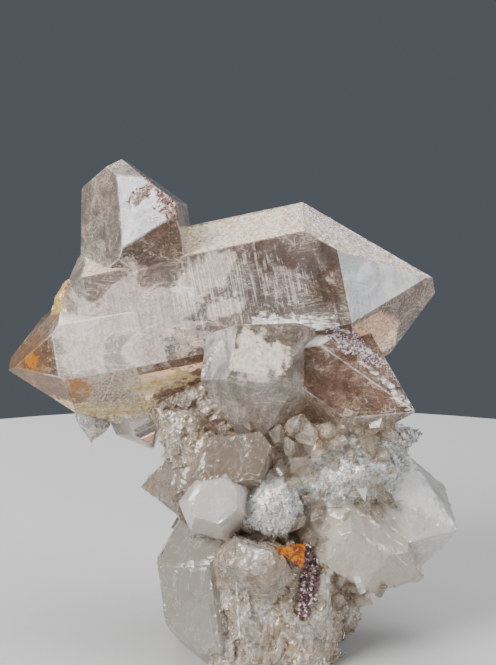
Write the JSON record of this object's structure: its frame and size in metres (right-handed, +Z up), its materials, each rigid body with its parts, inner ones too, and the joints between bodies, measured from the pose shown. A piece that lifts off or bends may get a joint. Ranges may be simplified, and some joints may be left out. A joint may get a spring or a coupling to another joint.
{
  "type": "quartz crystal cluster",
  "caption": "Upright cluster of six-sided smoky quartz crystals grown together, cut off flat below so that it stands for display.",
  "frame": {"origin": "middle of the flat cut that the cluster rests on", "axes": "+Z up, out of the cut; +X along the long crystal, towards its tip; -Y towards the side that the picture shows"},
  "size_m": [0.1114, 0.0746, 0.1207],
  "materials": {
    "smoky_quartz": "clear to milky smoky quartz with bright natural faces, frosted in places"
  },
  "bodies": {
    "root": {"quartz_cluster": "smoky_quartz"}
  },
  "joints": []
}
